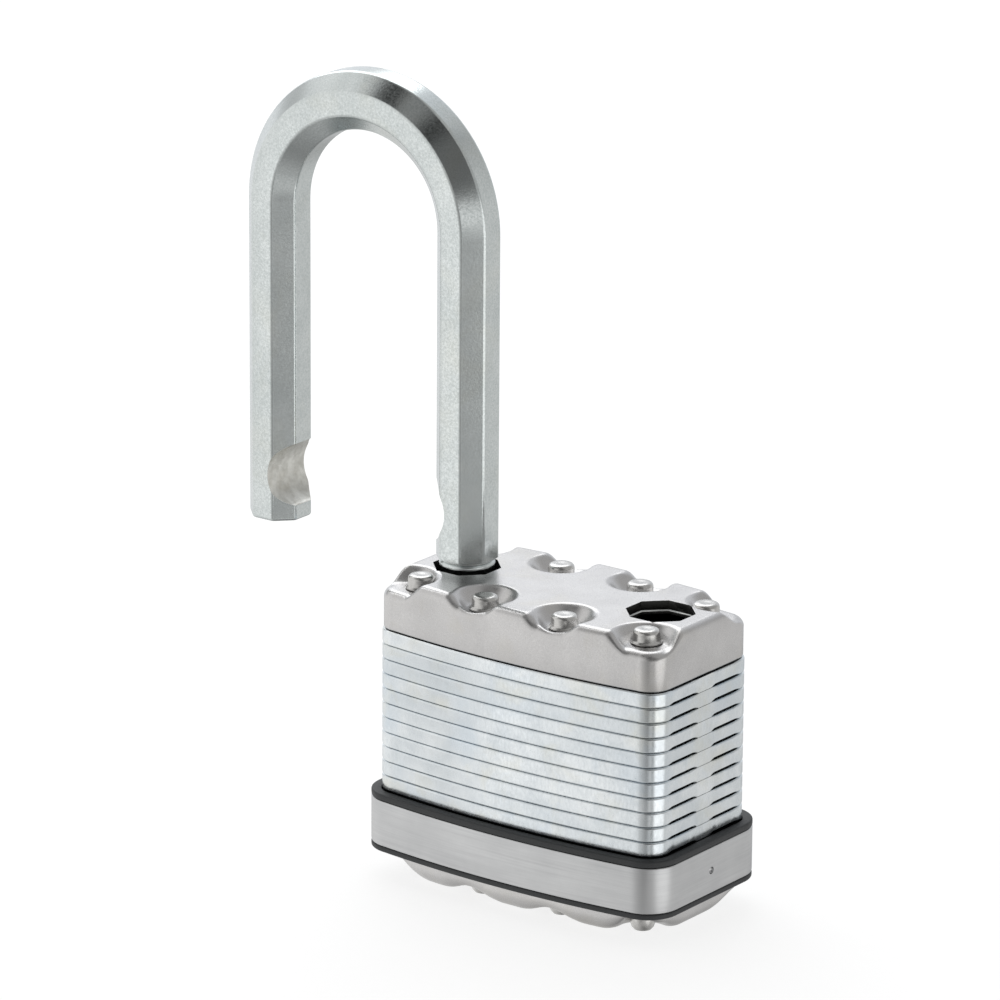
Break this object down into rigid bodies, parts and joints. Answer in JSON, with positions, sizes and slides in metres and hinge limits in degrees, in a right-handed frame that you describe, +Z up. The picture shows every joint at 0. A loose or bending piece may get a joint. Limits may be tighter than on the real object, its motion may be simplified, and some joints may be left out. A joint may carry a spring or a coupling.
{
  "type": "padlock",
  "caption": "Laminated steel padlock with a long octagonal shackle, ball locking, pin-tumbler cylinder and a rubber bumper, shown open.",
  "frame": {"origin": "middle of the body's flat top face, between the shackle's two legs", "axes": "+X from the heel leg towards the toe socket, +Y from front to back, +Z up along the shackle"},
  "size_m": [0.0836, 0.0304, 0.1179],
  "materials": {
    "cover_steel": "satin stainless steel, drawn",
    "zinc_plate": "bright zinc plating over stamped steel",
    "rivet_steel": "peened steel",
    "rubber": "moulded black rubber",
    "band_steel": "brushed stainless steel",
    "shackle_steel": "plated hardened steel, fine satin grain",
    "spring_steel": "drawn spring steel",
    "ball_steel": "polished hardened steel",
    "brass": "turned brass"
  },
  "bodies": {
    "case": {"top_cover": "cover_steel", "bottom_cover": "cover_steel", "top_guard_plate": "zinc_plate", "bottom_guard_plate": "zinc_plate", "plate_01": "zinc_plate", "plate_02": "zinc_plate", "plate_03": "zinc_plate", "plate_04": "zinc_plate", "plate_05": "zinc_plate", "plate_06": "zinc_plate", "plate_07": "zinc_plate", "plate_08": "zinc_plate", "plate_09": "zinc_plate", "plate_10": "zinc_plate", "plate_11": "zinc_plate", "plate_12": "zinc_plate", "plate_13": "zinc_plate", "plate_14": "zinc_plate", "plate_15": "zinc_plate", "plate_16": "zinc_plate", "plate_17": "zinc_plate", "rivet_1": "rivet_steel", "rivet_2": "rivet_steel", "rivet_3": "rivet_steel", "rivet_4": "rivet_steel", "rivet_5": "rivet_steel", "rivet_6": "rivet_steel", "rivet_7": "rivet_steel", "rivet_8": "rivet_steel", "bumper": "rubber", "bumper_band": "band_steel", "heel_retainer": "spring_steel", "cam_spring": "spring_steel", "cylinder_shell": "brass", "pin_spring_1": "spring_steel", "pin_spring_2": "spring_steel", "pin_spring_3": "spring_steel", "pin_spring_4": "spring_steel", "pin_spring_5": "spring_steel"},
    "spring_seat": {"spring_washer": "spring_steel", "shackle_spring": "spring_steel"},
    "shackle": {"shackle": "shackle_steel"},
    "cam": {"lock_cam": "shackle_steel"},
    "heel_ball": {"heel_ball": "ball_steel"},
    "toe_ball": {"toe_ball": "ball_steel"},
    "plug": {"plug": "brass", "plug_clip": "spring_steel"},
    "driver_1": {"driver_pin_1": "brass"},
    "key_pin_1": {"key_pin_1": "brass"},
    "driver_2": {"driver_pin_2": "brass"},
    "key_pin_2": {"key_pin_2": "brass"},
    "driver_3": {"driver_pin_3": "brass"},
    "key_pin_3": {"key_pin_3": "brass"},
    "driver_4": {"driver_pin_4": "brass"},
    "key_pin_4": {"key_pin_4": "brass"},
    "driver_5": {"driver_pin_5": "brass"},
    "key_pin_5": {"key_pin_5": "brass"}
  },
  "joints": [
    {"name": "shackle_lift", "type": "slide", "parent": "case", "child": "spring_seat", "axis": [0, 0, 1], "range_m": [-0.014, 0], "stiffness_N_per_m": 300, "springref_m": 0.01, "deforming": ["shackle_spring"]},
    {"name": "shackle_swivel", "type": "hinge", "parent": "spring_seat", "child": "shackle", "pos_m": [-0.0174, 0, 0], "axis": [0, 0, 1], "range_deg": [-180, 180]},
    {"name": "cam_turn", "type": "hinge", "parent": "case", "child": "cam", "pos_m": [0, 0, 0], "axis": [0, 0, 1], "range_deg": [-90, 0]},
    {"name": "heel_ball_throw", "type": "slide", "parent": "case", "child": "heel_ball", "axis": [-1, 0, 0], "range_m": [0, 0.00321]},
    {"name": "toe_ball_throw", "type": "slide", "parent": "case", "child": "toe_ball", "axis": [1, 0, 0], "range_m": [0, 0.00321]},
    {"name": "plug_turn", "type": "hinge", "parent": "case", "child": "plug", "pos_m": [0, 0, 0], "axis": [0, 0, 1], "range_deg": [0, 90]},
    {"name": "driver_drop_1", "type": "slide", "parent": "case", "child": "driver_1", "axis": [0, 1, 0], "range_m": [-0.0017, 0]},
    {"name": "key_pin_drop_1", "type": "slide", "parent": "plug", "child": "key_pin_1", "axis": [0, 1, 0], "range_m": [-0.0017, 0]},
    {"name": "driver_drop_2", "type": "slide", "parent": "case", "child": "driver_2", "axis": [0, 1, 0], "range_m": [-0.001, 0]},
    {"name": "key_pin_drop_2", "type": "slide", "parent": "plug", "child": "key_pin_2", "axis": [0, 1, 0], "range_m": [-0.001, 0]},
    {"name": "driver_drop_3", "type": "slide", "parent": "case", "child": "driver_3", "axis": [0, 1, 0], "range_m": [-0.0021, 0]},
    {"name": "key_pin_drop_3", "type": "slide", "parent": "plug", "child": "key_pin_3", "axis": [0, 1, 0], "range_m": [-0.0021, 0]},
    {"name": "driver_drop_4", "type": "slide", "parent": "case", "child": "driver_4", "axis": [0, 1, 0], "range_m": [-0.0007, 0]},
    {"name": "key_pin_drop_4", "type": "slide", "parent": "plug", "child": "key_pin_4", "axis": [0, 1, 0], "range_m": [-0.0007, 0]},
    {"name": "driver_drop_5", "type": "slide", "parent": "case", "child": "driver_5", "axis": [0, 1, 0], "range_m": [-0.0014, 0]},
    {"name": "key_pin_drop_5", "type": "slide", "parent": "plug", "child": "key_pin_5", "axis": [0, 1, 0], "range_m": [-0.0014, 0]}
  ],
  "couplings": [
    {"joint": "heel_ball_throw", "follows": "cam_turn", "m_per_rad": -0.0020372},
    {"joint": "toe_ball_throw", "follows": "cam_turn", "m_per_rad": -0.0020372},
    {"joint": "key_pin_drop_1", "follows": "driver_drop_1", "ratio": 1},
    {"joint": "key_pin_drop_2", "follows": "driver_drop_2", "ratio": 1},
    {"joint": "key_pin_drop_3", "follows": "driver_drop_3", "ratio": 1},
    {"joint": "key_pin_drop_4", "follows": "driver_drop_4", "ratio": 1},
    {"joint": "key_pin_drop_5", "follows": "driver_drop_5", "ratio": 1}
  ]
}
